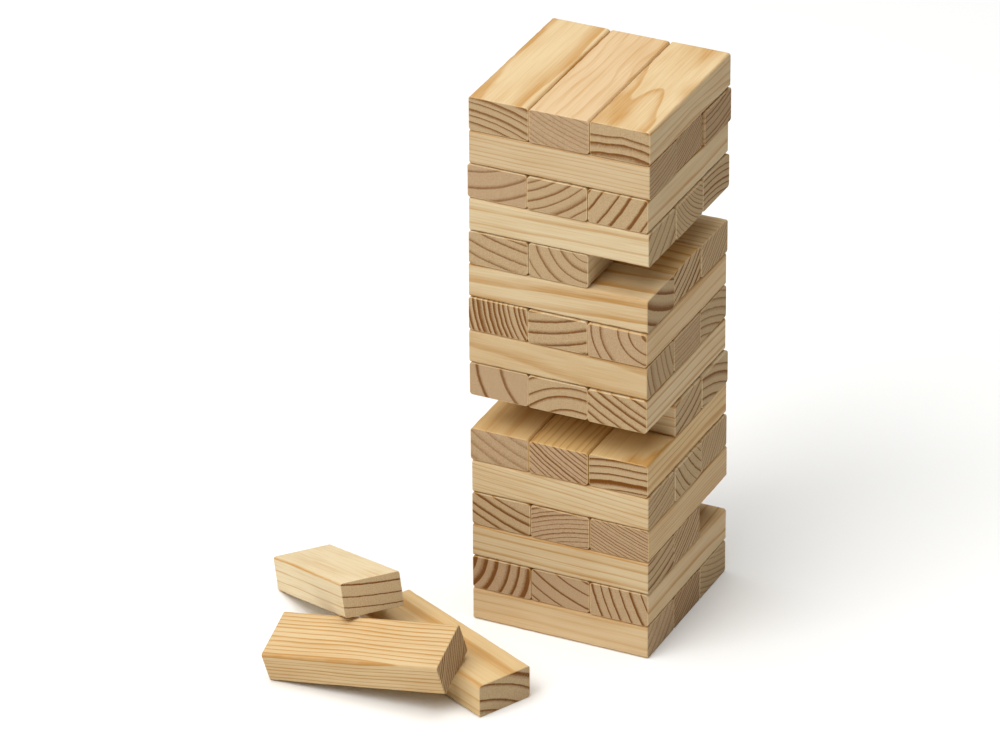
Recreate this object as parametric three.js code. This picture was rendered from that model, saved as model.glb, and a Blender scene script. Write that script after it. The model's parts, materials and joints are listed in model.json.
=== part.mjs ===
// Giant tumbling tower part way through a game: planed pine blocks stacked three to a level, each
// level crosswise to the one below, with three blocks pulled out and left in a pile in front.
// Millimetres, +Z up. The origin is the middle of the tower's footprint on the ground, +X runs to
// the right along the front face and +Y runs to the back.
import * as THREE from "three";

// Driving dimensions.
const BLOCK_LENGTH = 150;
const BLOCK_WIDTH = BLOCK_LENGTH / 3; // three side by side make a level as wide as it is long
const BLOCK_THICKNESS = 28.3;
const LEVELS = 16;
const CLEARANCE = 0.3; // left between any two blocks
const EDGE_RADIUS = 2.5; // rounding of the four long edges
const END_BEVEL = 0.6; // the sawn ends are only eased
const EDGE_STEPS = 3; // flats in each rounded edge
const HALVINGS = 50; // of the tilt at which a leaning block just touches the ground

// Odd levels run along X and even levels along Y.
const ODD_ROWS = ["front", "middle", "back"];
const EVEN_ROWS = ["left", "middle", "right"];
const PULLED_OUT = { 12: "right", 7: "front", 3: "back" };

// How the hand-laid levels sit, bottom to top: the level's drift sideways, then how far each of
// its three blocks is slid along its own length.
const LAID = [
  [0, 0, 0, 0],
  [0, 0, 0.5, 0],
  [0, 0, -0.5, 0],
  [0, 0, 0, 0.5],
  [0, 0, 0.5, 0],
  [-1, 0, -0.5, 0.5],
  [0, 0, 0, 0.5],
  [-1.5, 0.5, 0, -1],
  [0, -1.5, -1, -1.5],
  [-1.5, 0, -0.5, -1],
  [0.5, -1.5, -2, -1],
  [-1, 0, 0.5, 0],
  [0, -0.5, 0, 0],
  [-1.5, 0, -0.5, 0],
  [0, 0, -1, 1],
  [0, 0, -0.5, 0],
];

// The pile. The flat block's middle is counted from the tower's front left corner. Each of the other
// two lies over a long top edge of the block under it, with its low corner or end on the ground.
const FLAT_PLACE = [12.7, -77.9];
const FLAT_TURN = -26.2; // degrees from +X
const LEANING_TURN = 29.2; // degrees between the leaning block and the edge under it
const LEANING_REACH = 23.7; // from the flat block's near end to where that edge is crossed
const LEANING_SHORT = 4; // from the leaning block's end on to the same place
const TOP_TURN = -41.3;
const TOP_REACH = 50.5; // from the leaning block's far end to where the top block crosses its edge
const TOP_OVERHANG = 13; // from there on to the top block's near end

const COLOURS = [0xe9cf9c, 0xe3c48e, 0xeed6a6, 0xdfbd88, 0xe6c996];
const UP = new THREE.Vector3(0, 0, 1);
const tower = new THREE.Group();

// One block: length along X, width along Y, thickness along Z, middle at the origin.
function blockGeometry() {
  const outline = [];
  for (const [side, top, start] of [[1, -1, -90], [1, 1, 0], [-1, 1, 90], [-1, -1, 180]]) {
    for (let step = 0; step <= EDGE_STEPS; step++) {
      const angle = THREE.MathUtils.degToRad(start + (90 * step) / EDGE_STEPS);
      const y = side * (BLOCK_WIDTH / 2 - EDGE_RADIUS) + EDGE_RADIUS * Math.cos(angle);
      const z = top * (BLOCK_THICKNESS / 2 - EDGE_RADIUS) + EDGE_RADIUS * Math.sin(angle);
      outline.push(new THREE.Vector2(y, z));
    }
  }
  const geometry = new THREE.ExtrudeGeometry(new THREE.Shape(outline), {
    depth: BLOCK_LENGTH - 2 * END_BEVEL,
    bevelThickness: END_BEVEL,
    bevelSize: END_BEVEL,
    bevelOffset: -END_BEVEL,
    bevelSegments: 1,
  });
  geometry.translate(0, 0, END_BEVEL - BLOCK_LENGTH / 2);
  const lengthwise = new THREE.Matrix4().makeBasis(
    new THREE.Vector3(0, 1, 0),
    new THREE.Vector3(0, 0, 1),
    new THREE.Vector3(1, 0, 0),
  );
  return geometry.applyMatrix4(lengthwise);
}

const geometry = blockGeometry();

function addBlock(name, matrix) {
  const colour = COLOURS[tower.children.length % COLOURS.length];
  const material = new THREE.MeshStandardMaterial({ color: colour, roughness: 0.7, metalness: 0 });
  const block = new THREE.Mesh(geometry, material);
  block.name = name;
  block.applyMatrix4(matrix);
  tower.add(block);
}

// The standing levels.
for (let level = 1; level <= LEVELS; level++) {
  const even = level % 2 === 0;
  const [drift, ...slides] = LAID[(level - 1) % LAID.length];
  const height = (level - 0.5) * BLOCK_THICKNESS + (level - 1) * CLEARANCE;
  (even ? EVEN_ROWS : ODD_ROWS).forEach((row, i) => {
    if (PULLED_OUT[level] === row) return;
    const across = (i - 1) * (BLOCK_WIDTH + CLEARANCE) + drift;
    const matrix = new THREE.Matrix4().makeRotationZ(even ? Math.PI / 2 : 0);
    matrix.setPosition(even ? across : slides[i], even ? slides[i] : across, height);
    addBlock(`level_${String(level).padStart(2, "0")}_${row}`, matrix);
  });
}

// The direction along the ground that is so many degrees round from +X.
function heading(degrees) {
  const angle = THREE.MathUtils.degToRad(degrees);
  return new THREE.Vector3(Math.cos(angle), Math.sin(angle), 0);
}

// A block's matrix from the direction of its length, of its top face and the place of its middle.
function blockMatrix(length, top, middle) {
  const width = new THREE.Vector3().crossVectors(top, length);
  return new THREE.Matrix4().makeBasis(length, width, top).setPosition(middle);
}

function lowestPoint(matrix) {
  const corners = geometry.getAttribute("position");
  const corner = new THREE.Vector3();
  let lowest = Infinity;
  for (let i = 0; i < corners.count; i++) {
    corner.fromBufferAttribute(corners, i).applyMatrix4(matrix);
    lowest = Math.min(lowest, corner.z);
  }
  return lowest;
}

// A point on the centre line of the rounding of a block's long top edge, on its +Y or -Y side.
const inFromSide = BLOCK_WIDTH / 2 - EDGE_RADIUS;
function edgePoint(block, along, side) {
  const point = new THREE.Vector3(along, side * inFromSide, BLOCK_THICKNESS / 2 - EDGE_RADIUS);
  return point.applyMatrix4(block);
}

// The matrix of a block that lies over the edge through a point and slopes down from it to the
// ground. The edge runs level or nearly so, and the block is turned so many radians from it. Ahead
// is how far its near end lies past the edge, and sideways how far its middle line is from it.
function leanOver(point, edge, turn, ahead, sideways) {
  const tilted = (tilt) => {
    const rise = new THREE.Vector3().crossVectors(UP, edge).multiplyScalar(Math.cos(tilt));
    rise.addScaledVector(UP, Math.sin(tilt));
    const top = new THREE.Vector3().crossVectors(edge, rise);
    const length = edge.clone().multiplyScalar(Math.cos(turn)).addScaledVector(rise, Math.sin(turn));
    const middle = point.clone().addScaledVector(top, BLOCK_THICKNESS / 2 + EDGE_RADIUS + CLEARANCE);
    middle.addScaledVector(length, ahead - BLOCK_LENGTH / 2);
    middle.addScaledVector(new THREE.Vector3().crossVectors(top, length), sideways);
    return blockMatrix(length, top, middle);
  };
  let clear = 0;
  let sunk = Math.PI / 3;
  for (let i = 0; i < HALVINGS; i++) {
    const tilt = (clear + sunk) / 2;
    if (lowestPoint(tilted(tilt)) > 0) clear = tilt;
    else sunk = tilt;
  }
  return tilted(clear);
}

// The flat block lies on the ground in front.
const footprint = 3 * BLOCK_WIDTH + 2 * CLEARANCE;
const [flatX, flatY] = FLAT_PLACE.map((distance) => distance - footprint / 2);
const flatHeading = heading(FLAT_TURN);
const flat = blockMatrix(flatHeading, UP, new THREE.Vector3(flatX, flatY, BLOCK_THICKNESS / 2));
addBlock("loose_block_flat", flat);

// The leaning block lies over the flat one's front edge, with one corner on the ground.
const flatEdge = edgePoint(flat, BLOCK_LENGTH / 2 - LEANING_REACH, -1);
const leaningTurn = THREE.MathUtils.degToRad(LEANING_TURN);
const leaning = leanOver(flatEdge, flatHeading, leaningTurn, -LEANING_SHORT, 0);
addBlock("loose_block_leaning", leaning);

// The top block's near side lies on the leaning one's back edge, with its far end on the ground.
const leaningEdge = edgePoint(leaning, TOP_REACH - BLOCK_LENGTH / 2, 1);
const levelCrosswise = heading(TOP_TURN - 90);
addBlock(
  "loose_block_top",
  leanOver(leaningEdge, levelCrosswise, Math.PI / 2, TOP_OVERHANG, inFromSide),
);

export default tower;
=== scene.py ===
"""Giant tumbling tower: planed pine blocks, stacked and loose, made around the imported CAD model.

Every block is cut from a log of its own: its mesh carries where it sat in that log, and the pine
materials draw the growth rings from there, so a ring runs on from the sawn end to the long faces.
"""

import json
import math
from collections import namedtuple

import bpy
from bpy.props import FloatProperty, FloatVectorProperty, IntProperty, PointerProperty
from mathutils import Matrix, Vector


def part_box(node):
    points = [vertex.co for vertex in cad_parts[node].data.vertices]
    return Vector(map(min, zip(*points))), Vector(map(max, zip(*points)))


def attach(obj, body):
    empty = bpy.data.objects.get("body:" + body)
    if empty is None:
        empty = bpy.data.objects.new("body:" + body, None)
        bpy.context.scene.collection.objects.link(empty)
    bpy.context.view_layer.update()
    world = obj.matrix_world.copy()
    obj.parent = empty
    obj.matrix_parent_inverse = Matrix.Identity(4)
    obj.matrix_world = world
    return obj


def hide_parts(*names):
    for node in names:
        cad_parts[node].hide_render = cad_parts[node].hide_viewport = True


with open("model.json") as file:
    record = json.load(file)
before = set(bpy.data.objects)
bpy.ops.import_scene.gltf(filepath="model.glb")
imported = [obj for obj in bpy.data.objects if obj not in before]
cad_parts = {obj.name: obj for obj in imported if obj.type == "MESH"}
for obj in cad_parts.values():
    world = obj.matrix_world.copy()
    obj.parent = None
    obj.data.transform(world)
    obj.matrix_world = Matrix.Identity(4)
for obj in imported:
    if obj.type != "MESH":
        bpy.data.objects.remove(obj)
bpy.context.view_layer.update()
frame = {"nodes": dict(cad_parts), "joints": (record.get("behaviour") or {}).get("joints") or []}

bl_info = {
    "name": "Giant Tumbling Tower",
    "version": (1, 0, 0),
    "blender": (4, 5, 0),
    "location": "View3D > Sidebar > Tumbling Tower",
    "description": "Planed pine blocks with growth rings, stacked and in a pile, on a pale floor",
    "category": "Add Mesh",
}

MM = 0.001
ROOT_AXIS = (1, 0, 0)  # the bottom middle block has no joint, and runs along X
SAME_WAY = 0.999  # the cosine past which two directions count as the same
SAWN_FACING = 0.99  # the cosine past which a face looks along the block, so was sawn
EASE_ROWS = 3  # rows of points that turn through each eased end
PAST_ENDS = 1.0  # metres: farther along a block than any point of it
FLAT_FIRST = 100  # the weighting that lets large flat faces decide the shading
SEED_STEP = 3.7  # from one block's noise seed to the next
SEED_SPREAD = 17.3  # sets the blocks' seeds farther apart, so that they don't share their years
UNEVEN = 0.45  # the share of a ring by which years are wide or narrow
SUMMER_ENDS = 0.97  # how far through a year, from 0 to 1, its dark line is
WOOD_IOR = 1.45
SENSOR_WIDTH = 36  # mm
# The stage, in metres: the lights are square, and point at one spot in the tower.
FLOOR_SIZE = 16
FAR_CLIP = 60
LIGHT_AIM = Vector((0, 0, 0.2))
OVERHEAD_SPOT, OVERHEAD_SIZE = (-0.4, -0.4, 4.0), 5.0
FRONT_SPOT, FRONT_SIZE = (-1.2, -2.6, 3.1), 2.6

# How a block was cut from its log, as its showing end is seen, upright, from outside.
# bearing: degrees from that end's middle to the pith, counted from the right towards the top
# far: mm to the pith; spacing: mm between rings; line: mm from the middle, towards the bark, to
# where a ring's dark line falls; late: the share of a ring that is dark summer wood; dark: how dark
# run: mm that the rings drift towards the pith for each mm towards the showing end
# figure: how much the rings wander along the log; tone: a name in TONES
Cut = namedtuple("Cut", "bearing far spacing line late dark run figure tone")
CUTS = {
    "level_16_left": Cut(-103, 150, 5.8, 7.0, 0.62, 0.80, 0.00, 0.5, "golden"),
    "level_16_middle": Cut(69, 120, 3.9, 0.5, 0.45, 0.40, 0.00, 1.3, "rosy"),
    "level_16_right": Cut(-91, 130, 8.4, -0.2, 0.50, 0.80, -0.02, 3.2, "golden"),
    "level_15_front": Cut(100, 150, 3.6, 0.0, 0.40, 0.60, 0.00, 0.4, "grey"),
    "level_15_middle": Cut(118, 130, 3.0, 0.0, 0.45, 0.85, 0.00, 0.5, "grey"),
    "level_15_back": Cut(97, 160, 5.4, 1.0, 0.35, 1.35, 0.00, 0.5, "brown"),
    "level_14_left": Cut(108, 92, 13.0, 0.8, 0.25, 0.55, 0.00, 1.0, "rosy"),
    "level_14_middle": Cut(122, 120, 7.6, 4.0, 0.35, 0.70, 0.00, 0.7, "plain"),
    "level_14_right": Cut(147, 200, 9.7, 4.6, 0.24, 1.20, 0.00, 0.6, "golden"),
    "level_13_front": Cut(129, 200, 9.8, -1.2, 0.30, 0.60, 0.02, 0.6, "cream"),
    "level_13_middle": Cut(50, 90, 3.5, 0.0, 0.35, 0.60, 0.00, 0.6, "plain"),
    "level_13_back": Cut(-96, 160, 5.4, 1.2, 0.35, 0.90, 0.00, 0.6, "plain"),
    "level_12_left": Cut(76, 180, 8.7, 2.6, 0.40, 0.60, 0.00, 0.7, "plain"),
    "level_12_middle": Cut(45, 35, 9.4, 10.7, 0.30, 0.60, 0.00, 0.8, "plain"),
    "level_11_front": Cut(64, 200, 11.0, -7.0, 0.45, 0.85, 0.05, 0.7, "plain"),
    "level_11_middle": Cut(121, 150, 7.0, 0.0, 0.50, 1.00, 0.00, 0.7, "glow"),
    "level_11_back": Cut(129, 200, 4.3, 0.0, 0.40, 0.70, 0.00, 0.5, "plain"),
    "level_10_left": Cut(15, 75, 4.3, 2.8, 0.78, 1.35, 0.00, 0.4, "plain"),
    "level_10_middle": Cut(104, 160, 9.6, 1.4, 0.30, 0.75, 0.00, 0.7, "plain"),
    "level_10_right": Cut(29, 31, 10.8, -2.9, 0.20, 0.70, 0.00, 0.7, "amber"),
    "level_09_front": Cut(20, 110, 8.2, -3.0, 0.35, 0.60, -0.026, 0.9, "tan"),
    "level_09_middle": Cut(93, 300, 3.5, 0.0, 0.40, 0.45, 0.00, 0.4, "grey"),
    "level_09_back": Cut(-110, 150, 6.5, 0.0, 0.35, 0.60, 0.00, 0.6, "plain"),
    "level_08_left": Cut(22, 56, 22.0, -5.6, 0.12, 0.75, 0.00, 0.8, "rosy"),
    "level_08_middle": Cut(-75, 60, 9.8, 1.2, 0.34, 0.85, 0.00, 0.7, "plain"),
    "level_08_right": Cut(61, 250, 7.0, 4.5, 0.38, 1.10, 0.00, 0.5, "golden"),
    "level_07_middle": Cut(109, 120, 8.2, 0.0, 0.35, 0.80, 0.00, 0.8, "plain"),
    "level_07_back": Cut(-109, 150, 7.6, -2.0, 0.40, 0.70, 0.00, 0.7, "cream"),
    "level_06_left": Cut(62, 150, 9.0, 3.8, 0.40, 0.35, 0.00, 0.9, "ember"),
    "level_06_middle": Cut(57, 200, 3.7, 0.0, 0.45, 1.00, 0.00, 0.6, "deep"),
    "level_06_right": Cut(-85, 250, 6.4, -5.0, 0.45, 0.90, 0.00, 1.4, "glow"),
    "level_05_front": Cut(104, 160, 4.2, 0.0, 0.40, 0.60, -0.08, 0.6, "plain"),
    "level_05_middle": Cut(42, 160, 7.4, 0.0, 0.22, 0.75, 0.00, 0.6, "cream"),
    "level_05_back": Cut(140, 200, 4.6, 0.0, 0.40, 0.55, 0.00, 0.5, "plain"),
    "level_04_left": Cut(68, 200, 8.2, 6.6, 0.38, 1.20, 0.00, 0.6, "plain"),
    "level_04_middle": Cut(-74, 150, 3.9, 0.0, 0.36, 0.70, 0.00, 0.5, "rosy"),
    "level_04_right": Cut(68, 220, 2.7, 0.0, 0.40, 0.85, 0.00, 0.5, "amber"),
    "level_03_front": Cut(100, 150, 7.4, 1.5, 0.40, 0.80, -0.01, 0.7, "plain"),
    "level_03_middle": Cut(124, 170, 4.3, 0.0, 0.40, 0.90, 0.00, 0.5, "plain"),
    "level_02_left": Cut(161, 58, 9.3, -4.6, 0.60, 1.20, 0.00, 0.6, "rosy"),
    "level_02_middle": Cut(63, 120, 10.2, 0.6, 0.16, 0.85, 0.00, 0.7, "rosy"),
    "level_02_right": Cut(21, 160, 8.3, 4.0, 0.28, 1.10, 0.00, 0.6, "peach"),
    "level_01_front": Cut(130, 170, 8.6, 0.0, 0.40, 0.40, 0.00, 1.2, "peach"),
    "level_01_middle": Cut(125, 200, 3.9, 0.0, 0.50, 1.10, 0.00, 0.5, "brown"),
    "level_01_back": Cut(72, 200, 4.6, 0.0, 0.35, 0.45, 0.00, 0.6, "cream"),
    "loose_block_flat": Cut(-113, 130, 10.6, 5.7, 0.36, 0.75, 0.00, 0.5, "painted_light_honey"),
    "loose_block_leaning": Cut(132, 150, 3.3, 0.0, 0.45, 1.20, 0.00, 0.9, "bright"),
    "loose_block_top": Cut(84, 300, 9.2, 1.7, 0.13, 0.80, 0.00, 0.3, "pale"),
}
# How far a block's wood goes towards rosy, brown and honey. A brown below 0 lightens it instead.
# Most tones are the wood's own; a few are painted light and shade, as said below.
TONES = {
    "cream": (0.0, 0.0, 0.0),
    "plain": (0.15, 0.12, 0.15),
    "grey": (0.4, 0.5, 0.0),
    "rosy": (0.9, 0.1, 0.0),
    "brown": (0.6, 0.9, 0.2),
    "golden": (0.1, 0.1, 0.45),
    "amber": (0.8, 0.1, 0.6),
    # deep, ember and glow are painted shade and painted bounce light: they make the blocks whose
    # tops lie open in the tower's hollows more orange, and glow also lightens them.
    "deep": (1.0, 0.0, 1.7),
    "ember": (0.8, 0.1, 1.3),
    "glow": (0.2, -0.3, 1.2),
    "peach": (0.6, 0.0, 0.3),
    "tan": (0.2, 0.45, 0.5),
    # pale and fresh are painted light: they lighten the loose blocks on the floor.
    "pale": (0.0, -0.7, 0.0),
    "painted_light_honey": (0.1, -0.3, 0.9),
    "bright": (0.1, 0.2, 0.7),
}


def linear(colour):
    """The linear values of an sRGB hex colour."""
    parts = [int(colour[i : i + 2], 16) / 255 for i in (1, 3, 5)]
    return tuple(c / 12.92 if c <= 0.04045 else ((c + 0.055) / 1.055) ** 2.4 for c in parts)


def colour_property(name, description, colour):
    return FloatVectorProperty(
        name=name,
        description=description,
        subtype="COLOR",
        size=3,
        min=0,
        max=1,
        default=linear(colour),
    )


class BlockSettings(bpy.types.PropertyGroup):
    """The shape of a block, beyond the size that it takes from its CAD node"""

    edge_radius: FloatProperty(
        name="Edge radius",
        description="Rounding of the long edges",
        default=2.5 * MM,
        unit="LENGTH",
    )
    end_ease: FloatProperty(
        name="End ease",
        description="How far the sawn ends are eased",
        default=0.7 * MM,
        unit="LENGTH",
    )
    wear: FloatProperty(
        name="Wear",
        description="Depth of the knocks along the edges",
        default=0.45 * MM,
        unit="LENGTH",
    )
    corner_steps: IntProperty(
        name="Corner steps", description="Points in each rounded edge", default=6
    )
    rows: IntProperty(
        name="Rows", description="Rings of points along a block, an odd number", default=61
    )


class PineSettings(bpy.types.PropertyGroup):
    """The colours of the wood"""

    early: colour_property("Spring wood", "Pale wood between the lines on long faces", "#D4C09A")
    late: colour_property("Summer wood", "The ring lines on long faces", "#B58544")
    early_rosy: colour_property("Rosy spring wood", "Pale wood of the pinkest blocks", "#D0B38B")
    honey: colour_property("Honey spring wood", "Pale wood of the most golden blocks", "#CEAC73")
    end_early: colour_property("Spring end grain", "Pale wood on sawn ends", "#BEA47D")
    end_rosy: colour_property("Rosy end grain", "Sawn ends of the pinkest blocks", "#BB9E7C")
    end_late: colour_property("Summer end grain", "The ring lines on sawn ends", "#76491D")
    brown: colour_property("Brown", "What the darkest blocks are toned with", "#957652")


class StageSettings(bpy.types.PropertyGroup):
    """The floor, the camera and the lights"""

    floor_colour: colour_property("Floor", "Colour of the studio floor", "#F6F6F4")
    azimuth: FloatProperty(
        name="Azimuth",
        description="Camera's turn from the front",
        default=math.radians(25.47),
        unit="ROTATION",
    )
    elevation: FloatProperty(
        name="Elevation",
        description="Camera's height angle",
        default=math.radians(28.72),
        unit="ROTATION",
    )
    roll: FloatProperty(
        name="Roll",
        description="Camera's lean",
        default=math.radians(-0.42),
        unit="ROTATION",
    )
    distance: FloatProperty(
        name="Distance",
        description="From the camera to the tower's foot",
        default=5.483,
        unit="LENGTH",
    )
    lens: FloatProperty(
        name="Lens",
        description="Focal length in mm on a 36 mm sensor",
        default=249.9,
        unit="CAMERA",
    )
    aim_left: FloatProperty(
        name="Aim left",
        description="How far left of the foot it looks",
        default=0.079,
        unit="LENGTH",
    )
    aim_up: FloatProperty(
        name="Aim up",
        description="How far above the foot it looks",
        default=0.1731,
        unit="LENGTH",
    )
    top_power: FloatProperty(
        name="Top light",
        description="Power of the overhead soft box",
        default=211.0,
        unit="POWER",
    )
    front_power: FloatProperty(
        name="Front light",
        description="Power of the front soft box",
        default=87.0,
        unit="POWER",
    )
    sky: FloatProperty(
        name="Sky", description="Strength of the white surroundings", default=0.11
    )


def add(tree, kind, inputs=None, **settings):
    """Adds a node. Settings are its properties; inputs go by name or number, each a plain value, a
    node, whose first output is linked, or a node with the name or number of an output."""
    node = tree.nodes.new(kind)
    for name, value in settings.items():
        setattr(node, name, value)
    for key, value in (inputs or {}).items():
        if isinstance(value, bpy.types.Node):
            value = (value, 0)
        if isinstance(value, tuple) and isinstance(value[0], bpy.types.Node):
            tree.links.new(value[0].outputs[value[1]], node.inputs[key])
        else:
            node.inputs[key].default_value = value
    return node


Figure = namedtuple("Figure", "band edge dark place across seed rosy brown honey")


def per_mm(*sizes):
    """The scale that gives a pattern features of about these sizes in mm."""
    return tuple(1 / size for size in sizes)


def ring_figure(tree):
    """The growth rings, drawn in mm of the log that the block came from. Gives what both finishes
    need: the summer band and its dark outer line, each from 0 to 1, how dark that year is, the
    place in the log, the same without its length, and the block's seed and tone."""
    log = add(tree, "ShaderNodeAttribute", attribute_name="log")
    rings = add(tree, "ShaderNodeAttribute", attribute_name="rings")
    growth = add(tree, "ShaderNodeAttribute", attribute_name="growth")
    tint = add(tree, "ShaderNodeAttribute", attribute_name="tint")
    ring_parts = add(tree, "ShaderNodeSeparateXYZ", {0: (rings, "Vector")})
    growth_parts = add(tree, "ShaderNodeSeparateXYZ", {0: (growth, "Vector")})
    tint_parts = add(tree, "ShaderNodeSeparateXYZ", {0: (tint, "Vector")})
    place = (log, "Vector")
    spacing, line_radius, darkness = ((ring_parts, axis) for axis in "XYZ")
    late_share, wandering, honey = ((growth_parts, axis) for axis in "XYZ")
    rosy, brown, seed = ((tint_parts, axis) for axis in "XYZ")

    # The trunk wanders slowly along its length, which draws flames where a face only grazes a ring:
    # within 2.5 mm at the showing end and 12 mm from 70 mm in, times the cut's figure.
    slow = add(
        tree, "ShaderNodeVectorMath", {0: place, 1: per_mm(130, 38, 38)}, operation="MULTIPLY"
    )
    wander = add(
        tree,
        "ShaderNodeTexNoise",
        {"Vector": slow, "W": seed, "Scale": 1.0, "Detail": 1.5},
        noise_dimensions="4D",
    )
    centred = add(tree, "ShaderNodeMath", {0: wander, 1: 0.5}, operation="SUBTRACT")
    place_parts = add(tree, "ShaderNodeSeparateXYZ", {0: place})
    reach = add(
        tree, "ShaderNodeMapRange", {0: (place_parts, "X"), 1: 0.0, 2: -70.0, 3: 2.5, 4: 12.0}
    )
    amount = add(tree, "ShaderNodeMath", {0: wandering, 1: reach}, operation="MULTIPLY")
    wandered = add(tree, "ShaderNodeMath", {0: centred, 1: amount}, operation="MULTIPLY")
    # A finer ripple roughens each line a little.
    quick = add(tree, "ShaderNodeVectorMath", {0: place, 1: per_mm(40, 7, 7)}, operation="MULTIPLY")
    ripple = add(
        tree,
        "ShaderNodeTexNoise",
        {"Vector": quick, "W": seed, "Scale": 1.0, "Detail": 2.0},
        noise_dimensions="4D",
    )
    rippled = add(
        tree, "ShaderNodeMath", {0: ripple, 1: 1.1, 2: wandered}, operation="MULTIPLY_ADD"
    )

    across = add(tree, "ShaderNodeVectorMath", {0: place, 1: (0, 1, 1)}, operation="MULTIPLY")
    radius = add(tree, "ShaderNodeVectorMath", {0: across}, operation="LENGTH")
    moved = add(tree, "ShaderNodeMath", {0: (radius, "Value"), 1: rippled}, operation="ADD")
    from_line = add(tree, "ShaderNodeMath", {0: moved, 1: line_radius}, operation="SUBTRACT")
    years = add(tree, "ShaderNodeMath", {0: from_line, 1: spacing}, operation="DIVIDE")
    # Some years are wide and some narrow.
    season = add(
        tree,
        "ShaderNodeTexNoise",
        {"Vector": years, "W": seed, "Scale": 0.55, "Detail": 0.0},
        noise_dimensions="4D",
    )
    stretched = add(
        tree, "ShaderNodeMath", {0: season, 1: 2 * UNEVEN, 2: years}, operation="MULTIPLY_ADD"
    )
    uneven = add(tree, "ShaderNodeMath", {0: stretched, 1: UNEVEN}, operation="SUBTRACT")
    year = add(tree, "ShaderNodeMath", {0: uneven}, operation="FLOOR")
    part = add(tree, "ShaderNodeMath", {0: uneven}, operation="FRACT")
    year_seed = add(
        tree, "ShaderNodeMath", {0: seed, 1: SEED_SPREAD, 2: year}, operation="MULTIPLY_ADD"
    )
    chance = add(tree, "ShaderNodeTexWhiteNoise", {"W": year_seed}, noise_dimensions="1D")

    # Summer wood comes in slowly and ends at a sharp line, where the next year's pale wood begins.
    width = add(tree, "ShaderNodeMapRange", {0: chance, 1: 0.0, 2: 1.0, 3: 0.7, 4: 1.3})
    share = add(tree, "ShaderNodeMath", {0: width, 1: late_share}, operation="MULTIPLY")
    start = add(tree, "ShaderNodeMath", {0: SUMMER_ENDS, 1: share}, operation="SUBTRACT")
    rise = add(
        tree,
        "ShaderNodeMapRange",
        {0: part, 1: start, 2: 0.95, 3: 0.0, 4: 1.0},
        interpolation_type="SMOOTHSTEP",
    )
    fall = add(
        tree,
        "ShaderNodeMapRange",
        {0: part, 1: 0.0, 2: 0.07, 3: 1.0, 4: 0.0},
        interpolation_type="SMOOTHSTEP",
    )
    band = add(tree, "ShaderNodeMath", {0: rise, 1: fall}, operation="MAXIMUM")
    thin = add(
        tree, "ShaderNodeMath", {0: share, 1: -0.45, 2: SUMMER_ENDS}, operation="MULTIPLY_ADD"
    )
    line = add(
        tree,
        "ShaderNodeMapRange",
        {0: part, 1: thin, 2: 0.96, 3: 0.0, 4: 1.0},
        interpolation_type="SMOOTHSTEP",
    )
    edge = add(tree, "ShaderNodeMath", {0: line, 1: fall}, operation="MAXIMUM")
    year_dark = add(
        tree, "ShaderNodeMapRange", {0: (chance, "Color"), 1: 0.0, 2: 1.0, 3: 0.72, 4: 1.05}
    )
    dark = add(tree, "ShaderNodeMath", {0: year_dark, 1: darkness}, operation="MULTIPLY")
    return Figure(band, edge, dark, place, across, seed, rosy, brown, honey)


def empty_material(name):
    """A new material's node tree, with nothing in it."""
    material = bpy.data.materials.new(name)
    material.use_nodes = True
    material.node_tree.nodes.clear()
    return material.node_tree


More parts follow.
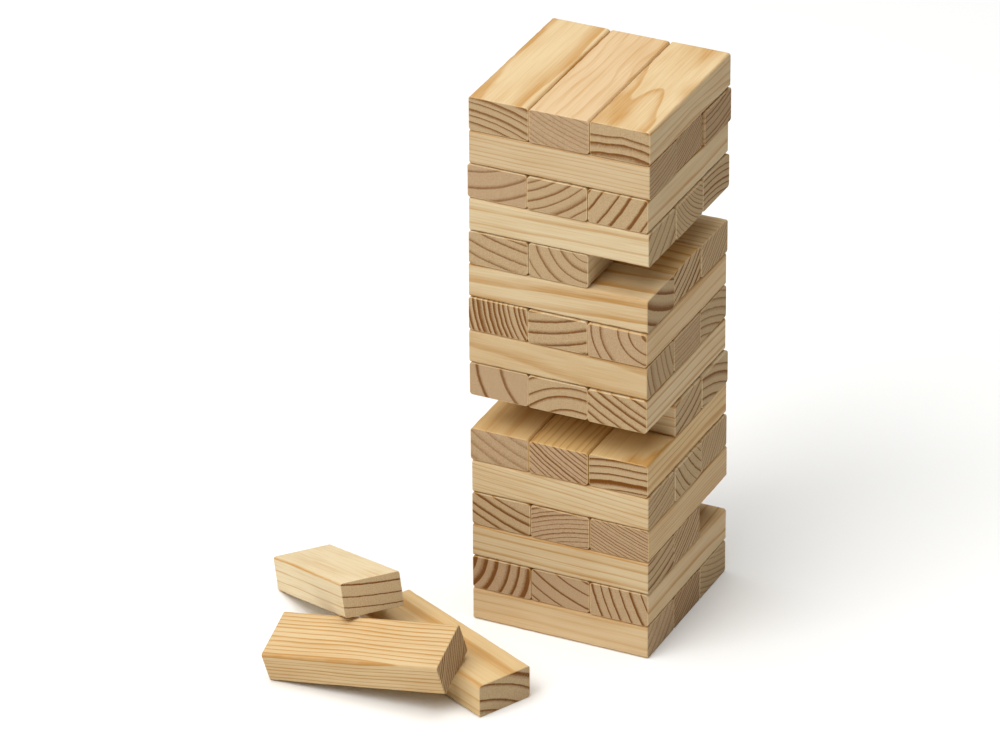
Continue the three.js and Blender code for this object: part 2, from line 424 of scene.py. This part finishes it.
def planed_pine(wood):
    """Planed pine: cream spring wood and tan summer lines under a dry planed surface. The lines run
    as stripes, arches or flames, with short fibre streaks along the block, and a faint sheen."""
    tree = empty_material("Planed pine")
    figure = ring_figure(tree)
    # Fibres are drawn about 1 mm wide and 60 mm long, coarser than real ones, so that they show.
    fibre_room = add(
        tree,
        "ShaderNodeVectorMath",
        {0: figure.place, 1: per_mm(60, 1.1, 1.1)},
        operation="MULTIPLY",
    )
    fibres = add(
        tree,
        "ShaderNodeTexNoise",
        {"Vector": fibre_room, "W": figure.seed, "Scale": 1.0, "Detail": 3.0, "Roughness": 0.6},
        noise_dimensions="4D",
    )
    # Cloudy patches, some 70 mm long and 18 mm wide, are where the wood is a little warmer.
    cloud_room = add(
        tree, "ShaderNodeVectorMath", {0: figure.place, 1: per_mm(70, 18, 18)}, operation="MULTIPLY"
    )
    clouds = add(
        tree,
        "ShaderNodeTexNoise",
        {"Vector": cloud_room, "W": figure.seed, "Scale": 1.0, "Detail": 1.0},
        noise_dimensions="4D",
    )
    rosy = add(
        tree,
        "ShaderNodeMix",
        {0: figure.rosy, 6: (*wood.early, 1), 7: (*wood.early_rosy, 1)},
        data_type="RGBA",
    )
    honeyed = add(tree, "ShaderNodeMath", {0: figure.honey, 1: 0.6}, operation="MULTIPLY")
    pale = add(
        tree, "ShaderNodeMix", {0: honeyed, 6: (rosy, 2), 7: (*wood.honey, 1)}, data_type="RGBA"
    )
    # The planed, rounded edges are painted a touch darker: painted shade of the seams between
    # blocks, which lines each block.
    edge_shade = add(tree, "ShaderNodeAttribute", attribute_name="edge_shade")
    warmth = add(tree, "ShaderNodeMapRange", {0: clouds, 1: 0.4, 2: 0.8, 3: 0.0, 4: 0.3})
    warmth_and_edge_shade = add(
        tree, "ShaderNodeMath", {0: (edge_shade, "Fac"), 1: 0.45, 2: warmth}, operation="MULTIPLY_ADD"
    )
    streak = add(tree, "ShaderNodeMapRange", {0: fibres, 1: 0.35, 2: 0.7, 3: -0.14, 4: 0.28})
    # The long faces cut the rings at a slant, so lines are wider and fainter there than on ends.
    softer = add(
        tree, "ShaderNodeMath", {0: figure.dark, 1: 0.8, 2: 0.05}, operation="MULTIPLY_ADD"
    )
    shape = add(tree, "ShaderNodeMath", {0: figure.edge, 1: 0.3}, operation="MULTIPLY")
    both = add(tree, "ShaderNodeMath", {0: figure.band, 1: 0.7, 2: shape}, operation="MULTIPLY_ADD")
    late = add(tree, "ShaderNodeMath", {0: both, 1: softer}, operation="MULTIPLY")
    summer = add(tree, "ShaderNodeMath", {0: late, 1: streak}, operation="ADD")
    amount = add(tree, "ShaderNodeMath", {0: summer, 1: warmth_and_edge_shade}, operation="ADD", use_clamp=True)
    grain = add(
        tree, "ShaderNodeMix", {0: amount, 6: (pale, 2), 7: (*wood.late, 1)}, data_type="RGBA"
    )
    browned = add(tree, "ShaderNodeMath", {0: figure.brown, 1: 0.3}, operation="MULTIPLY")
    colour = add(
        tree,
        "ShaderNodeMix",
        {0: browned, 6: (grain, 2), 7: (*wood.brown, 1)},
        data_type="RGBA",
        clamp_factor=False,
    )
    rough = add(tree, "ShaderNodeMapRange", {0: late, 1: 0.0, 2: 1.0, 3: 0.62, 4: 0.5})
    relief = add(tree, "ShaderNodeMath", {0: late, 1: 0.5, 2: fibres}, operation="MULTIPLY_ADD")
    bump = add(tree, "ShaderNodeBump", {"Strength": 0.25, "Distance": 0.3 * MM, "Height": relief})
    surface = add(
        tree,
        "ShaderNodeBsdfPrincipled",
        {
            "Base Color": (colour, 2),
            "Roughness": rough,
            "IOR": WOOD_IOR,
            "Specular IOR Level": 0.35,
            "Normal": bump,
        },
    )
    add(tree, "ShaderNodeOutputMaterial", {"Surface": surface})


def sawn_pine(wood):
    """Sawn pine end grain: the same rings cut across, browner and quite matt, because open ends
    drink the light, with pores, and faint marks where the saw went through."""
    tree = empty_material("Sawn pine end grain")
    figure = ring_figure(tree)
    # Pores are drawn 0.8 mm across, coarser than real ones, so that they show.
    pore_room = add(
        tree,
        "ShaderNodeVectorMath",
        {0: figure.across, 1: per_mm(1, 0.8, 0.8)},
        operation="MULTIPLY",
    )
    pores = add(
        tree,
        "ShaderNodeTexNoise",
        {"Vector": pore_room, "W": figure.seed, "Scale": 1.0, "Detail": 3.0, "Roughness": 0.65},
        noise_dimensions="4D",
    )
    # Saw marks run across the block's thickness, about 1.5 mm apart.
    saw_room = add(
        tree,
        "ShaderNodeVectorMath",
        {0: figure.across, 1: per_mm(1, 1.5, 14)},
        operation="MULTIPLY",
    )
    saw = add(
        tree,
        "ShaderNodeTexNoise",
        {"Vector": saw_room, "W": figure.seed, "Scale": 1.0, "Detail": 2.0},
        noise_dimensions="4D",
    )
    pale = add(
        tree,
        "ShaderNodeMix",
        {0: figure.rosy, 6: (*wood.end_early, 1), 7: (*wood.end_rosy, 1)},
        data_type="RGBA",
    )
    speck = add(tree, "ShaderNodeMapRange", {0: pores, 1: 0.3, 2: 0.75, 3: -0.18, 4: 0.44})
    mark = add(tree, "ShaderNodeMapRange", {0: saw, 1: 0.4, 2: 0.75, 3: 0.0, 4: 0.06})
    shape = add(tree, "ShaderNodeMath", {0: figure.edge, 1: 0.45}, operation="MULTIPLY")
    both = add(tree, "ShaderNodeMath", {0: figure.band, 1: 0.8, 2: shape}, operation="MULTIPLY_ADD")
    late = add(tree, "ShaderNodeMath", {0: both, 1: figure.dark}, operation="MULTIPLY")
    summer = add(tree, "ShaderNodeMath", {0: late, 1: speck}, operation="ADD")
    amount = add(tree, "ShaderNodeMath", {0: summer, 1: mark}, operation="ADD", use_clamp=True)
    grain = add(
        tree, "ShaderNodeMix", {0: amount, 6: (pale, 2), 7: (*wood.end_late, 1)}, data_type="RGBA"
    )
    browned = add(tree, "ShaderNodeMath", {0: figure.brown, 1: 0.35}, operation="MULTIPLY")
    colour = add(
        tree,
        "ShaderNodeMix",
        {0: browned, 6: (grain, 2), 7: (*wood.brown, 1)},
        data_type="RGBA",
        clamp_factor=False,
    )
    bump = add(tree, "ShaderNodeBump", {"Strength": 0.5, "Distance": 0.4 * MM, "Height": pores})
    surface = add(
        tree,
        "ShaderNodeBsdfPrincipled",
        {
            "Base Color": (colour, 2),
            "Roughness": 0.85,
            "IOR": WOOD_IOR,
            "Specular IOR Level": 0.2,
            "Normal": bump,
        },
    )
    add(tree, "ShaderNodeOutputMaterial", {"Surface": surface})


def planed_block():
    """The Geometry Nodes tree of one block: a rounded outline run along a line, its ends eased and
    its edges a little knocked. The block lies along X, its showing end towards +X."""
    tree = bpy.data.node_groups.new("Planed block", "GeometryNodeTree")
    for name, kind in (
        ("Length", "Float"),
        ("Width", "Float"),
        ("Thickness", "Float"),
        ("Edge Radius", "Float"),
        ("End Ease", "Float"),
        ("Wear", "Float"),
        ("Corner Steps", "Int"),
        ("Rows", "Int"),
        ("To Pith", "Vector"),
        ("Far", "Float"),
        ("Run", "Float"),
        ("Rings", "Vector"),
        ("Growth", "Vector"),
        ("Tint", "Vector"),
        ("Long Faces", "Material"),
        ("Ends", "Material"),
    ):
        tree.interface.new_socket(name, in_out="INPUT", socket_type="NodeSocket" + kind)
    tree.interface.new_socket("Block", in_out="OUTPUT", socket_type="NodeSocketGeometry")
    given = add(tree, "NodeGroupInput")

    # The cross-section, and the line it runs along.
    oblong = add(
        tree,
        "GeometryNodeCurvePrimitiveQuadrilateral",
        {"Width": (given, "Width"), "Height": (given, "Thickness")},
    )
    outline = add(
        tree,
        "GeometryNodeFilletCurve",
        {"Curve": oblong, "Count": (given, "Corner Steps"), "Radius": (given, "Edge Radius")},
        mode="POLY",
    )
    half = add(tree, "ShaderNodeMath", {0: (given, "Length"), 1: 0.5}, operation="MULTIPLY")
    tip = add(tree, "ShaderNodeCombineXYZ", {"X": half})
    tail = add(tree, "ShaderNodeVectorMath", {0: tip, 1: (-1, 0, 0)}, operation="MULTIPLY")
    line = add(tree, "GeometryNodeCurvePrimitiveLine", {"Start": tail, "End": tip})
    spine = add(
        tree, "GeometryNodeResampleCurve", {"Curve": line, "Count": (given, "Rows")}, mode="COUNT"
    )

    # The first rows turn through each eased end, close together, and the others are even between.
    index = add(tree, "GeometryNodeInputIndex")
    last = add(tree, "ShaderNodeMath", {0: (given, "Rows"), 1: 1}, operation="SUBTRACT")
    from_tip = add(tree, "ShaderNodeMath", {0: last, 1: index}, operation="SUBTRACT")
    row = add(tree, "ShaderNodeMath", {0: index, 1: from_tip}, operation="MINIMUM")
    turning = add(tree, "ShaderNodeMath", {0: row, 1: EASE_ROWS}, operation="MINIMUM")
    row_turn = math.radians(90 / EASE_ROWS)
    angle = add(tree, "ShaderNodeMath", {0: turning, 1: row_turn}, operation="MULTIPLY")
    cosine = add(tree, "ShaderNodeMath", {0: angle}, operation="COSINE")
    sine = add(tree, "ShaderNodeMath", {0: angle}, operation="SINE")
    in_by = add(tree, "ShaderNodeMath", {0: 1, 1: cosine}, operation="SUBTRACT")
    down_by = add(tree, "ShaderNodeMath", {0: 1, 1: sine}, operation="SUBTRACT")
    eased = add(tree, "ShaderNodeMath", {0: in_by, 1: (given, "End Ease")}, operation="MULTIPLY")
    inset = add(tree, "ShaderNodeMath", {0: down_by, 1: (given, "End Ease")}, operation="MULTIPLY")
    flat_rows = add(
        tree, "ShaderNodeMath", {0: last, 1: 0.5, 2: -EASE_ROWS}, operation="MULTIPLY_ADD"
    )
    flat_run = add(tree, "ShaderNodeMath", {0: half, 1: (given, "End Ease")}, operation="SUBTRACT")
    past = add(tree, "ShaderNodeMath", {0: row, 1: turning}, operation="SUBTRACT")
    part = add(tree, "ShaderNodeMath", {0: past, 1: flat_rows}, operation="DIVIDE")
    along = add(tree, "ShaderNodeMath", {0: part, 1: flat_run, 2: eased}, operation="MULTIPLY_ADD")
    reach = add(tree, "ShaderNodeMath", {0: half, 1: along}, operation="SUBTRACT")
    side = add(tree, "ShaderNodeMath", {0: index, 1: from_tip}, operation="SUBTRACT")
    sign = add(tree, "ShaderNodeMath", {0: side}, operation="SIGN")
    where = add(tree, "ShaderNodeMath", {0: reach, 1: sign}, operation="MULTIPLY")
    place = add(tree, "ShaderNodeCombineXYZ", {"X": where})
    placed = add(tree, "GeometryNodeSetPosition", {"Geometry": spine, "Position": place})
    marked = add(
        tree,
        "GeometryNodeStoreNamedAttribute",
        {"Geometry": placed, "Name": "inset", "Value": inset},
        data_type="FLOAT",
    )
    upright = add(tree, "GeometryNodeSetCurveNormal", {"Curve": marked}, mode="Z_UP")
    body = add(
        tree,
        "GeometryNodeCurveToMesh",
        {"Curve": upright, "Profile Curve": outline, "Fill Caps": True},
    )

    # The sawn faces are found while they are still square to the block.
    facing = add(tree, "ShaderNodeSeparateXYZ", {0: add(tree, "GeometryNodeInputNormal")})
    square = add(tree, "ShaderNodeMath", {0: (facing, "X")}, operation="ABSOLUTE")
    sawn = add(tree, "ShaderNodeMath", {0: square, 1: SAWN_FACING}, operation="GREATER_THAN")
    known = add(
        tree,
        "GeometryNodeStoreNamedAttribute",
        {"Geometry": body, "Name": "sawn", "Value": sawn},
        data_type="BOOLEAN",
        domain="FACE",
    )

    # Each point moves in towards the middle of the nearest rounded edge: by the ease at the ends,
    # and by the wear, which bites only where the surface is already turning. None moves lengthwise.
    spot = add(tree, "GeometryNodeInputPosition")
    wide = add(tree, "ShaderNodeCombineXYZ", {"Y": (given, "Width"), "Z": (given, "Thickness")})
    halved = add(tree, "ShaderNodeVectorMath", {0: wide, 3: 0.5}, operation="SCALE")
    corner = add(
        tree,
        "ShaderNodeCombineXYZ",
        {"X": -PAST_ENDS, "Y": (given, "Edge Radius"), "Z": (given, "Edge Radius")},
    )
    core = add(tree, "ShaderNodeVectorMath", {0: halved, 1: corner}, operation="SUBTRACT")
    unsigned = add(tree, "ShaderNodeVectorMath", {0: spot}, operation="ABSOLUTE")
    over = add(tree, "ShaderNodeVectorMath", {0: unsigned, 1: core}, operation="SUBTRACT")
    outside = add(tree, "ShaderNodeVectorMath", {0: over, 1: (0, 0, 0)}, operation="MAXIMUM")
    signs = add(tree, "ShaderNodeVectorMath", {0: spot}, operation="SIGN")
    outwards = add(tree, "ShaderNodeVectorMath", {0: outside, 1: signs}, operation="MULTIPLY")
    direction = add(tree, "ShaderNodeVectorMath", {0: outwards}, operation="NORMALIZE")
    parts = add(tree, "ShaderNodeSeparateXYZ", {0: direction})
    across = add(tree, "ShaderNodeMath", {0: (parts, "Y"), 1: (parts, "Z")}, operation="MULTIPLY")
    turn = add(tree, "ShaderNodeMath", {0: across}, operation="ABSOLUTE")
    # The knocks are about 11 mm long.
    tint_parts = add(tree, "ShaderNodeSeparateXYZ", {0: (given, "Tint")})
    knocks = add(
        tree,
        "ShaderNodeTexNoise",
        {"Vector": spot, "W": (tint_parts, "Z"), "Scale": 90.0, "Detail": 1.0},
        noise_dimensions="4D",
    )
    bite = add(tree, "ShaderNodeMapRange", {0: knocks, 1: 0.45, 2: 0.8, 3: 0.0, 4: 2.0})
    bitten = add(tree, "ShaderNodeMath", {0: bite, 1: turn}, operation="MULTIPLY")
    worn = add(tree, "ShaderNodeMath", {0: bitten, 1: (given, "Wear")}, operation="MULTIPLY")
    stored_inset = add(
        tree, "GeometryNodeInputNamedAttribute", {"Name": "inset"}, data_type="FLOAT"
    )
    depth = add(tree, "ShaderNodeMath", {0: worn, 1: stored_inset}, operation="ADD")
    backwards = add(tree, "ShaderNodeMath", {0: depth, 1: -1}, operation="MULTIPLY")
    inwards = add(tree, "ShaderNodeVectorMath", {0: direction, 3: backwards}, operation="SCALE")
    eased_body = add(tree, "GeometryNodeSetPosition", {"Geometry": known, "Offset": inwards})

    # Where each point sat in the log, in mm: along it, and across it from the pith.
    at_mm = add(tree, "ShaderNodeVectorMath", {0: spot, 3: 1 / MM}, operation="SCALE")
    tip_mm = add(tree, "ShaderNodeVectorMath", {0: tip, 3: 1 / MM}, operation="SCALE")
    from_end = add(tree, "ShaderNodeVectorMath", {0: at_mm, 1: tip_mm}, operation="SUBTRACT")
    end_parts = add(tree, "ShaderNodeSeparateXYZ", {0: from_end})
    away = add(
        tree,
        "ShaderNodeMath",
        {0: (end_parts, "X"), 1: (given, "Run"), 2: (given, "Far")},
        operation="MULTIPLY_ADD",
    )
    pith = add(tree, "ShaderNodeVectorMath", {0: (given, "To Pith"), 3: away}, operation="SCALE")
    in_log = add(tree, "ShaderNodeVectorMath", {0: from_end, 1: pith}, operation="SUBTRACT")
    # How far the surface turns at the rounded edges is kept for the planed pine, which paints those
    # edges darker as shade of the seams.
    result = add(
        tree,
        "GeometryNodeStoreNamedAttribute",
        {"Geometry": eased_body, "Name": "edge_shade", "Value": turn},
        data_type="FLOAT",
    )
    for name, value in (
        ("log", in_log),
        ("rings", (given, "Rings")),
        ("growth", (given, "Growth")),
        ("tint", (given, "Tint")),
    ):
        result = add(
            tree,
            "GeometryNodeStoreNamedAttribute",
            {"Geometry": result, "Name": name, "Value": value},
            data_type="FLOAT_VECTOR",
        )
    is_sawn = add(tree, "GeometryNodeInputNamedAttribute", {"Name": "sawn"}, data_type="BOOLEAN")
    is_planed = add(tree, "FunctionNodeBooleanMath", {0: is_sawn}, operation="NOT")
    shaded = add(
        tree,
        "GeometryNodeSetShadeSmooth",
        {"Geometry": result, "Shade Smooth": is_planed},
        domain="FACE",
    )
    real = add(tree, "GeometryNodeRealizeInstances", {"Geometry": shaded})
    planed = add(
        tree, "GeometryNodeSetMaterial", {"Geometry": real, "Material": (given, "Long Faces")}
    )
    finished = add(
        tree,
        "GeometryNodeSetMaterial",
        {"Geometry": planed, "Selection": is_sawn, "Material": (given, "Ends")},
    )
    add(tree, "NodeGroupOutput", {0: finished})


def block_place(node):
    """The matrix that puts a block in the place of its CAD node, and the node's length, width and
    thickness."""
    mesh = frame["nodes"][node].data
    low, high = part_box(node)
    middle = (low + high) / 2
    joint = next((j for j in frame["joints"] if j["child"] == node), None)
    along = Vector(joint["axis"] if joint else ROOT_AXIS).normalized()
    if abs(along.y) > SAME_WAY:
        along = Vector((0, -1, 0))  # on the even levels the showing end is the front one
    up = max(mesh.polygons, key=lambda face: face.area).normal.copy()
    if up.z < 0:
        up.negate()
    across = up.cross(along).normalized()
    up = along.cross(across)
    place = Matrix((along, across, up)).transposed().to_4x4()
    place.translation = middle
    size = [
        2 * max(abs((v.co - middle).dot(axis)) for v in mesh.vertices)
        for axis in (along, across, up)
    ]
    return place, size


def make_block(context, node, number):
    """One pine block in the place of its CAD node. Its number sets its noise apart from others'."""
    blocks = context.scene.tower_blocks
    cut = CUTS[node]
    place, (length, width, thickness) = block_place(node)
    bearing = math.radians(cut.bearing)
    rosy, brown, honey = TONES[cut.tone]
    values = {
        "Length": length,
        "Width": width,
        "Thickness": thickness,
        "Edge Radius": blocks.edge_radius,
        "End Ease": blocks.end_ease,
        "Wear": blocks.wear,
        "Corner Steps": blocks.corner_steps,
        "Rows": blocks.rows,
        "To Pith": (0.0, math.cos(bearing), math.sin(bearing)),
        "Far": float(cut.far),
        "Run": cut.run,
        "Rings": (cut.spacing, cut.far + cut.line, cut.dark),
        "Growth": (cut.late, cut.figure, honey),
        "Tint": (rosy, brown, SEED_STEP * number),
        "Long Faces": bpy.data.materials["Planed pine"],
        "Ends": bpy.data.materials["Sawn pine end grain"],
    }
    tree = bpy.data.node_groups["Planed block"]
    rough = bpy.data.objects.new("rough_" + node, bpy.data.meshes.new("rough_" + node))
    context.scene.collection.objects.link(rough)
    modifier = rough.modifiers.new("Planed block", "NODES")
    modifier.node_group = tree
    for item in tree.interface.items_tree:
        if item.in_out == "INPUT":
            modifier[item.identifier] = values[item.name]
    even = rough.modifiers.new("Even shading", "WEIGHTED_NORMAL")
    even.keep_sharp = True
    even.weight = FLAT_FIRST
    evaluated = rough.evaluated_get(context.evaluated_depsgraph_get())
    mesh = bpy.data.meshes.new_from_object(evaluated)
    bpy.data.objects.remove(rough)
    mesh.transform(place)
    mesh.name = "pine_" + node
    piece = bpy.data.objects.new("pine_" + node, mesh)
    context.scene.collection.objects.link(piece)
    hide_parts(node)
    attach(piece, node)


class TOWER_OT_wood(bpy.types.Operator):
    """Make the two finishes of pine and the block's node tree"""

    bl_idname = "tower.make_wood"
    bl_label = "Pine and block tree"

    def execute(self, context):
        wood = context.scene.tower_pine
        planed_pine(wood)
        sawn_pine(wood)
        planed_block()
        return {"FINISHED"}


class TOWER_OT_standing(bpy.types.Operator):
    """Make the blocks that still stand in the tower"""

    bl_idname = "tower.make_standing"
    bl_label = "Standing blocks"

    def execute(self, context):
        for number, node in enumerate(CUTS):
            if node.startswith("level"):
                make_block(context, node, number)
        return {"FINISHED"}


class TOWER_OT_loose(bpy.types.Operator):
    """Make the three blocks that lie in a pile"""

    bl_idname = "tower.make_loose"
    bl_label = "Loose blocks"

    def execute(self, context):
        for number, node in enumerate(CUTS):
            if node.startswith("loose"):
                make_block(context, node, number)
        return {"FINISHED"}


class TOWER_OT_stage(bpy.types.Operator):
    """Make the floor, the soft lights and the camera"""

    bl_idname = "tower.make_stage"
    bl_label = "Stage"

    def execute(self, context):
        scene = context.scene
        stage = scene.tower_stage
        # Matt white paint: an even, dull surface.
        paint = bpy.data.materials.new("Matt white paint")
        paint.use_nodes = True
        surface = paint.node_tree.nodes["Principled BSDF"]
        surface.inputs["Base Color"].default_value = (*stage.floor_colour, 1)
        surface.inputs["Roughness"].default_value = 0.9
        surface.inputs["Specular IOR Level"].default_value = 0.1
        bpy.ops.mesh.primitive_plane_add(size=FLOOR_SIZE)
        floor = context.object
        floor.name = "studio_floor"
        floor.data.materials.append(paint)

        world = bpy.data.worlds.new("White studio")
        world.use_nodes = True
        scene.world = world
        surroundings = world.node_tree.nodes["Background"]
        surroundings.inputs["Color"].default_value = (1, 1, 1, 1)
        surroundings.inputs["Strength"].default_value = stage.sky
        for name, spot, size, power in (
            ("Overhead soft box", OVERHEAD_SPOT, OVERHEAD_SIZE, stage.top_power),
            ("Front soft box", FRONT_SPOT, FRONT_SIZE, stage.front_power),
        ):
            light = bpy.data.lights.new(name, "AREA")
            light.size = size
            light.energy = power
            lamp = bpy.data.objects.new(name, light)
            lamp.location = spot
            beam = LIGHT_AIM - Vector(spot)
            lamp.rotation_euler = beam.to_track_quat("-Z", "Y").to_euler()
            scene.collection.objects.link(lamp)

        camera = bpy.data.cameras.new("Camera")
        camera.lens = stage.lens
        camera.sensor_width = SENSOR_WIDTH
        camera.clip_end = FAR_CLIP
        eye = bpy.data.objects.new("Camera", camera)
        turn, rise = stage.azimuth, stage.elevation
        back = Vector(
            (math.sin(turn) * math.cos(rise), -math.cos(turn) * math.cos(rise), math.sin(rise))
        )
        level = Vector((math.cos(turn), math.sin(turn), 0))
        upright = back.cross(level)
        right = level * math.cos(stage.roll) + upright * math.sin(stage.roll)
        up = upright * math.cos(stage.roll) - level * math.sin(stage.roll)
        pose = Matrix((right, up, back)).transposed().to_4x4()
        pose.translation = right * -stage.aim_left + up * stage.aim_up + back * stage.distance
        eye.matrix_world = pose
        scene.collection.objects.link(eye)
        scene.camera = eye
        scene.view_settings.view_transform = "Standard"
        return {"FINISHED"}


class TOWER_PT_panel(bpy.types.Panel):
    """The tower's sizes, colours and steps"""

    bl_idname = "TOWER_PT_panel"
    bl_label = "Tumbling Tower"
    bl_space_type = "VIEW_3D"
    bl_region_type = "UI"
    bl_category = "Tumbling Tower"

    def draw(self, context):
        scene = context.scene
        for title, group in (
            ("Blocks", scene.tower_blocks),
            ("Pine", scene.tower_pine),
            ("Stage", scene.tower_stage),
        ):
            box = self.layout.box()
            box.label(text=title)
            for name in group.__annotations__:
                box.prop(group, name)
        for step in STEPS:
            self.layout.operator(step.bl_idname)


STEPS = (TOWER_OT_wood, TOWER_OT_standing, TOWER_OT_loose, TOWER_OT_stage)
CLASSES = (BlockSettings, PineSettings, StageSettings, *STEPS, TOWER_PT_panel)


def register():
    for cls in CLASSES:
        bpy.utils.register_class(cls)
    bpy.types.Scene.tower_blocks = PointerProperty(type=BlockSettings)
    bpy.types.Scene.tower_pine = PointerProperty(type=PineSettings)
    bpy.types.Scene.tower_stage = PointerProperty(type=StageSettings)


def unregister():
    del bpy.types.Scene.tower_stage
    del bpy.types.Scene.tower_pine
    del bpy.types.Scene.tower_blocks
    for cls in reversed(CLASSES):
        bpy.utils.unregister_class(cls)


def main():
    register()
    bpy.ops.tower.make_wood()
    bpy.ops.tower.make_standing()
    bpy.ops.tower.make_loose()
    bpy.ops.tower.make_stage()


if __name__ == "__main__":
    main()
